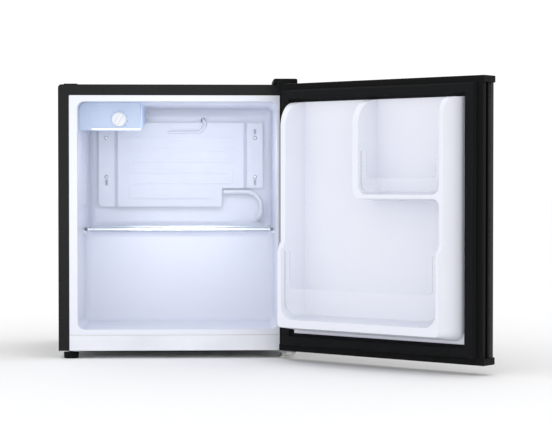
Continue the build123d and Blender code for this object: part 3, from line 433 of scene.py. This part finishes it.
def seal_profile(width, height):
    """The section of a magnetic seal: skirt, fold, magnet pocket, fold and lip."""
    shape = [
        (0.0, 0.0), (0.0, 0.1), (0.02, 0.2), (0.06, 0.29), (0.1, 0.36), (0.12, 0.44),
        (0.105, 0.52), (0.085, 0.6), (0.085, 0.72), (0.11, 0.85), (0.16, 0.95),
        (0.22, 0.99), (0.4, 1.0), (0.6, 1.0), (0.7, 0.985), (0.755, 0.93),
        (0.78, 0.83), (0.775, 0.68), (0.755, 0.55), (0.765, 0.44), (0.8, 0.36),
        (0.86, 0.29), (0.93, 0.21), (0.98, 0.12), (1.0, 0.05), (1.0, 0.0),
    ]
    return [(width * across, height * up) for across, up in shape]


# ---------------------------------------------------------------- settings
class FridgeFinish(bpy.types.PropertyGroup):
    """Colours of the refrigerator's own surfaces."""

    black: FloatVectorProperty(
        name="Cabinet black", description="Paint and plastic of the cabinet and the door",
        subtype="COLOR", size=3, min=0, max=1, default=(0.004, 0.0042, 0.0044),
    )
    white: FloatVectorProperty(
        name="Liner white", description="Formed liners and the rail under the door opening",
        subtype="COLOR", size=3, min=0, max=1, default=(0.815, 0.835, 0.915),
    )
    fitting: FloatVectorProperty(
        name="Fitting white", description="Evaporator plate and small plastic fittings",
        subtype="COLOR", size=3, min=0, max=1, default=(0.90, 0.915, 0.97),
    )
    control: FloatVectorProperty(
        name="Control box", description="Blue-grey plastic of the thermostat's housing",
        subtype="COLOR", size=3, min=0, max=1, default=(0.60, 0.70, 0.88),
    )
    rubber: FloatVectorProperty(
        name="Seal black", description="Door seal and other rubber",
        subtype="COLOR", size=3, min=0, max=1, default=(0.006, 0.0065, 0.0072),
    )
    glass: FloatVectorProperty(
        name="Shelf glass", description="Tint of the glass shelf",
        subtype="COLOR", size=3, min=0, max=1, default=(0.72, 0.78, 0.90),
    )
    guard: FloatVectorProperty(
        name="Door guards", description="Tint of the clear door guards",
        subtype="COLOR", size=3, min=0, max=1, default=(0.90, 0.92, 0.98),
    )


class FridgeDetail(bpy.types.PropertyGroup):
    """Sizes of the small pieces that are added to the frame."""

    mark_count: IntProperty(
        name="Dial marks", description="Number of dots round the dial",
        min=3, max=24, default=9,
    )
    mark_radius: FloatProperty(
        name="Largest mark", description="Radius of the dot at the cold end",
        unit="LENGTH", min=0.0003, max=0.003, default=1.0 * MM,
    )
    mark_gap: FloatProperty(
        name="Mark spacing from knob", description="From the knob's edge to the dots",
        unit="LENGTH", min=0.0005, max=0.01, default=2.6 * MM,
    )
    recess_width: FloatProperty(
        name="Screw recess", description="Width of one arm of a screw's cross recess",
        unit="LENGTH", min=0.0003, max=0.003, default=1.1 * MM,
    )


class FridgeStudio(bpy.types.PropertyGroup):
    """The camera and the lights."""

    eye: FloatVectorProperty(
        name="Camera", description="Where the camera stands",
        subtype="TRANSLATION", unit="LENGTH", size=3, default=(0.064, -3.5, 0.328),
    )
    yaw: FloatProperty(
        name="Turn to the right", description="Turn of the view away from straight ahead",
        subtype="ANGLE", unit="ROTATION", default=math.radians(2.08),
    )
    pitch: FloatProperty(
        name="Tilt down", description="Tilt of the view below the horizon",
        subtype="ANGLE", unit="ROTATION", default=math.radians(1.33),
    )
    lens: FloatProperty(
        name="Lens", description="Focal length in millimetres on a 36 mm sensor",
        min=20, max=300, default=114.98,
    )
    paper: FloatVectorProperty(
        name="Floor colour", description="Colour of the paper on the floor",
        subtype="COLOR", size=3, min=0, max=1, default=(0.95, 0.95, 0.955),
    )
    floor_half: FloatProperty(
        name="Floor", description="Half the width of the floor",
        unit="LENGTH", min=1, max=200, default=40.0,
    )
    sky: FloatProperty(
        name="Surrounding light", description="Brightness of the white surroundings",
        min=0, max=5, default=1.06,
    )
    key: FloatProperty(
        name="Key light", description="Power of the large soft light in front",
        subtype="POWER", unit="POWER", min=0, max=1000, default=5.0,
    )
    snoot: FloatProperty(
        name="Snoot", description="Power of the narrow light into the compartment",
        subtype="POWER", unit="POWER", min=0, max=1000, default=95.0,
    )
    inside: FloatProperty(
        name="Inside light", description="Power of the soft light in the compartment",
        subtype="POWER", unit="POWER", min=0, max=100, default=0.35,
    )
    snoot_colour: FloatVectorProperty(
        name="Snoot colour", description="Colour of the narrow light",
        subtype="COLOR", size=3, min=0, max=1, default=(0.85, 0.90, 1.0),
    )


# ---------------------------------------------------------------- operators
class FridgeStep:
    """What every step has in common."""

    bl_options = {"REGISTER", "UNDO"}


class FRIDGE_OT_cabinet(FridgeStep, bpy.types.Operator):
    """Paint the cabinet's steel, its liner, its feet and its foam"""

    bl_idname = "fridge.cabinet"
    bl_label = "Cabinet"

    def execute(self, context):
        paint(context, [
            "cabinet_wrapper", "inner_liner", "insulation_foam", "back_panel", "bay_lining",
            "base_pan", "bottom_front_rail", "spare_hinge_cover", "levelling_foot_left",
            "levelling_screw_right", "foot_nuts", "rear_feet",
        ])
        return {"FINISHED"}


class FRIDGE_OT_door(FridgeStep, bpy.types.Operator):
    """Paint the door's shell, liner, foam and guards"""

    bl_idname = "fridge.door"
    bl_label = "Door"

    def execute(self, context):
        paint(context, [
            "door_panel", "door_foam", "door_liner", "door_gasket", "gasket_magnets",
            "door_top_cap", "door_bottom_cap", "door_bushings", "spare_hinge_plugs",
            "free_edge_trim", "hinge_edge_trim", "lower_guard", "upper_guard",
        ])
        return {"FINISHED"}


class FRIDGE_OT_hinges(FridgeStep, bpy.types.Operator):
    """Finish the hinge brackets, pins, screws and the top cover"""

    bl_idname = "fridge.hinges"
    bl_label = "Hinges"

    def execute(self, context):
        paint(context, [
            "top_hinge_bracket", "top_hinge_pin", "top_hinge_screws", "top_hinge_cover",
            "lower_hinge_bracket", "lower_hinge_pin", "lower_hinge_screws", "hinge_washer",
        ])
        return {"FINISHED"}


class FRIDGE_OT_fittings(FridgeStep, bpy.types.Operator):
    """Finish the shelf, the control box and the evaporator"""

    bl_idname = "fridge.fittings"
    bl_label = "Shelf, control and evaporator"

    def execute(self, context):
        paint(context, [
            "glass_shelf", "shelf_bumpers", "shelf_ledges", "thermostat_knob",
            "thermostat_body", "sensor_tube", "evaporator_plate", "evaporator_spacers",
            "evaporator_screws", "inlet_tube", "suction_sleeve", "tube_grommet",
        ])
        paint(context, ["thermostat_housing"], "control_plastic")
        return {"FINISHED"}


class FRIDGE_OT_cooling(FridgeStep, bpy.types.Operator):
    """Finish the compressor, the condenser and the pipework"""

    bl_idname = "fridge.cooling"
    bl_label = "Compressor and condenser"

    def execute(self, context):
        paint(context, [
            "compressor_shell", "compressor_plate", "compressor_grommets", "compressor_bolts",
            "relay_cover", "terminal_box", "power_cord_gland", "condenser_coil",
            "condenser_wires", "condenser_clips", "discharge_tube", "filter_drier",
            "liquid_tube", "suction_tube",
        ])
        return {"FINISHED"}


class FRIDGE_OT_seal(FridgeStep, bpy.types.Operator):
    """Build the magnetic door seal with its folds and mitred corners"""

    bl_idname = "fridge.seal"
    bl_label = "Door seal"

    def execute(self, context):
        low, high = door_extent("door_gasket")
        magnets_low = door_extent("gasket_magnets")[0]
        # the magnet strip lies midway across the seal, all round
        width = 2 * (magnets_low[0] - low[0]) + MAGNET_WIDTH
        mesh = bmesh.new()
        loops = []
        for across, up in seal_profile(width, high[1] - low[1]):
            left, right = low[0] + across, high[0] - across
            bottom, top = low[2] + across, high[2] - across
            corners = [(left, bottom), (right, bottom), (right, top), (left, top)]
            loops.append([mesh.verts.new(door_point(u, low[1] + up, z)) for u, z in corners])
        for one, two in zip(loops, loops[1:] + loops[:1]):
            for corner in range(4):
                after = (corner + 1) % 4
                mesh.faces.new([one[corner], one[after], two[after], two[corner]])
        bmesh.ops.recalc_face_normals(mesh, faces=mesh.faces)
        rubber = finish_of("black_rubber", context.scene.fridge_finish)
        seal = mesh_piece("door_seal", mesh, "door", rubber)
        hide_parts("door_gasket")
        return {"FINISHED"}


class FRIDGE_OT_dial(FridgeStep, bpy.types.Operator):
    """Build the dots round the knob, which grow towards the cold end"""

    bl_idname = "fridge.dial"
    bl_label = "Dial marks"

    def execute(self, context):
        detail = context.scene.fridge_detail
        low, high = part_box("thermostat_knob")
        centre = Vector(KNOB_JOINT["pos_m"])
        knob_radius = (high.x - low.x) / 2
        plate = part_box("thermostat_housing")[0].y + DIAL_SINK
        ring = knob_radius + detail.mark_gap
        sweep = math.radians(KNOB_JOINT["range_deg"][1] - KNOB_JOINT["range_deg"][0])
        mesh = bmesh.new()
        for index in range(detail.mark_count):
            share = index / (detail.mark_count - 1)
            angle = math.pi / 2 + sweep / 2 - sweep * share
            radius = detail.mark_radius * (0.5 + 0.5 * share)
            spot = Vector((centre.x + ring * math.cos(angle), plate,
                           centre.z + ring * math.sin(angle)))
            dome = [(radius * out, radius * up) for out, up in MARK_DOME]
            lathe(mesh, dome, spot, FRONTWARD, MARK_SIDES)
        bmesh.ops.recalc_face_normals(mesh, faces=mesh.faces)
        ink = printed_mark("dial_ink", DIAL_INK)
        mesh_piece("dial_marks", mesh, "cabinet", ink)
        return {"FINISHED"}


class FRIDGE_OT_screws(FridgeStep, bpy.types.Operator):
    """Build the evaporator's pan-head screws with their cross recesses"""

    bl_idname = "fridge.screws"
    bl_label = "Evaporator screws"

    def execute(self, context):
        mesh = bmesh.new()
        for centre, radius in self.heads():
            crown = [(radius * out, HEAD_HEIGHT * up) for out, up in HEAD_CROWN]
            lathe(mesh, [(0, 0.0)] + crown, centre, FRONTWARD)
        bmesh.ops.recalc_face_normals(mesh, faces=mesh.faces)
        zinc = finish_of("zinc_steel", context.scene.fridge_finish)
        heads = mesh_piece("evaporator_screw_heads", mesh, "cabinet", zinc)
        self.cut_recesses(heads, context.scene.fridge_detail.recess_width)
        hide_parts("evaporator_screws")
        return {"FINISHED"}

    def heads(self):
        """Centre and radius of each head, read from the CAD screws."""
        low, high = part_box("evaporator_screws")
        vertices = [v.co for v in frame["nodes"]["evaporator_screws"].data.vertices]
        middle = (low + high) / 2
        found = []
        for right in (False, True):
            for upper in (False, True):
                own = [v for v in vertices
                       if (v.x > middle.x) == right and (v.z > middle.z) == upper]
                across, up = [v.x for v in own], [v.z for v in own]
                centre_x = (min(across) + max(across)) / 2
                centre_z = (min(up) + max(up)) / 2
                radius = (max(across) - min(across)) / 2
                found.append((Vector((centre_x, low.y + HEAD_HEIGHT, centre_z)), radius))
        return found

    def cut_recesses(self, piece, arm):
        """Cuts a cross into every head."""
        cutter = bmesh.new()
        for centre, radius in self.heads():
            place = Matrix.Translation(centre + FRONTWARD * (HEAD_HEIGHT * RECESS_SINK))
            reach = radius * RECESS_REACH
            for wide, tall in ((arm, reach), (reach, arm)):
                size = Matrix.Diagonal((wide, HEAD_HEIGHT, tall, 1))
                bmesh.ops.create_cube(cutter, size=1, matrix=place @ size)
        data = bpy.data.meshes.new("recess_cutter")
        cutter.to_mesh(data)
        cutter.free()
        tool = bpy.data.objects.new("recess_cutter", data)
        bpy.context.scene.collection.objects.link(tool)
        cut = piece.modifiers.new("recess", "BOOLEAN")
        cut.object = tool
        cut.use_self = True
        bpy.context.view_layer.update()
        shape = piece.evaluated_get(bpy.context.evaluated_depsgraph_get())
        piece.data = bpy.data.meshes.new_from_object(shape)
        piece.modifiers.clear()
        bpy.data.objects.remove(tool)


class FRIDGE_OT_studio(FridgeStep, bpy.types.Operator):
    """Set up the pale floor, the soft lights and the camera"""

    bl_idname = "fridge.studio"
    bl_label = "Studio"

    def execute(self, context):
        studio = context.scene.fridge_studio
        self.floor(studio)
        self.surroundings(context.scene, studio)
        self.soft_light("key", KEY_PLACE, KEY_SIZE, studio.key)
        self.snoot(studio)
        self.inside(studio)
        self.soft_light("fill", FILL_PLACE, FILL_SIZE, studio.key * FILL_SHARE)
        self.soft_light("top", TOP_PLACE, TOP_SIZE, studio.key * TOP_SHARE)
        self.camera(context.scene, studio)
        return {"FINISHED"}

    def floor(self, studio):
        """A wide sheet of pale paper under the refrigerator."""
        mesh = bmesh.new()
        bmesh.ops.create_grid(mesh, x_segments=FLOOR_SQUARES, y_segments=FLOOR_SQUARES,
                              size=studio.floor_half)
        data = bpy.data.meshes.new("floor")
        mesh.to_mesh(data)
        mesh.free()
        data.materials.append(studio_paper("studio_paper", studio.paper))
        paper = bpy.data.objects.new("floor", data)
        bpy.context.scene.collection.objects.link(paper)

    def surroundings(self, scene, studio):
        world = bpy.data.worlds.new("surroundings")
        world.use_nodes = True
        background = world.node_tree.nodes["Background"]
        background.inputs["Color"].default_value = (1.0, 1.0, 1.0, 1)
        background.inputs["Strength"].default_value = studio.sky
        scene.world = world
        scene.view_settings.view_transform = "Standard"

    def hang(self, data, place, target):
        """Puts a light in its place, turned towards a target."""
        lamp = bpy.data.objects.new(data.name, data)
        lamp.location = place
        lamp.rotation_euler = (target - lamp.location).to_track_quat("-Z", "Y").to_euler()
        bpy.context.scene.collection.objects.link(lamp)
        return lamp

    def soft_light(self, name, place, size, power):
        """A large square light, turned towards the front of the refrigerator."""
        data = bpy.data.lights.new(name, "AREA")
        data.shape = "SQUARE"
        data.size = size
        data.energy = power
        self.hang(data, place, LIGHTS_AIM)

    def inside(self, studio):
        """A soft light under the ceiling of the compartment, out of the camera's sight."""
        low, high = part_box("inner_liner")
        data = bpy.data.lights.new("inside", "AREA")
        data.shape = "RECTANGLE"
        data.size = INSIDE_WIDTH * (high.x - low.x)
        data.size_y = INSIDE_DEPTH
        data.energy = studio.inside
        data.color = studio.snoot_colour
        middle = (low.x + high.x) / 2
        back = Vector((middle, high.y, low.z + INSIDE_AIM_UP * (high.z - low.z)))
        lamp = self.hang(data, (middle, low.y + INSIDE_BACK, high.z - INSIDE_DROP), back)
        lamp.visible_camera = False

    def snoot(self, studio):
        """A narrow soft light through the door opening, to the back of the compartment."""
        low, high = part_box("inner_liner")
        data = bpy.data.lights.new("snoot", "SPOT")
        data.energy = studio.snoot
        data.color = studio.snoot_colour
        data.spot_size = SNOOT_ANGLE
        data.spot_blend = SNOOT_BLEND
        data.shadow_soft_size = SNOOT_SOFT
        aim_height = high.z - SNOOT_AIM_DOWN * (high.z - low.z)
        self.hang(data, SNOOT_PLACE, Vector(((low.x + high.x) / 2, high.y, aim_height)))

    def camera(self, scene, studio):
        data = bpy.data.cameras.new("camera")
        data.sensor_width = SENSOR_WIDTH
        data.lens = studio.lens
        eye = bpy.data.objects.new("camera", data)
        level = math.cos(studio.pitch)
        ahead = Vector((math.sin(studio.yaw) * level, math.cos(studio.yaw) * level,
                        -math.sin(studio.pitch)))
        eye.location = studio.eye
        eye.rotation_euler = ahead.to_track_quat("-Z", "Y").to_euler()
        scene.collection.objects.link(eye)
        scene.camera = eye


STEPS = (
    FRIDGE_OT_cabinet, FRIDGE_OT_door, FRIDGE_OT_hinges, FRIDGE_OT_fittings,
    FRIDGE_OT_cooling, FRIDGE_OT_seal, FRIDGE_OT_dial, FRIDGE_OT_screws, FRIDGE_OT_studio,
)


class FRIDGE_PT_steps(bpy.types.Panel):
    """The steps and the settings of the refrigerator"""

    bl_idname = "FRIDGE_PT_steps"
    bl_label = "Cube Refrigerator"
    bl_space_type = "VIEW_3D"
    bl_region_type = "UI"
    bl_category = "Fridge"

    def draw(self, context):
        for step in STEPS:
            self.layout.operator(step.bl_idname)
        for group in (context.scene.fridge_finish, context.scene.fridge_detail,
                      context.scene.fridge_studio):
            box = self.layout.box()
            for name in group.__annotations__:
                box.prop(group, name)


GROUPS = {
    "fridge_finish": FridgeFinish,
    "fridge_detail": FridgeDetail,
    "fridge_studio": FridgeStudio,
}


def register():
    for name, group in GROUPS.items():
        bpy.utils.register_class(group)
        setattr(bpy.types.Scene, name, PointerProperty(type=group))
    for step in (*STEPS, FRIDGE_PT_steps):
        bpy.utils.register_class(step)


def unregister():
    for step in reversed((*STEPS, FRIDGE_PT_steps)):
        bpy.utils.unregister_class(step)
    for name, group in GROUPS.items():
        delattr(bpy.types.Scene, name)
        bpy.utils.unregister_class(group)


def main():
    register()
    for step in STEPS:
        getattr(bpy.ops.fridge, step.bl_idname.split(".")[1])()


if __name__ == "__main__":
    main()
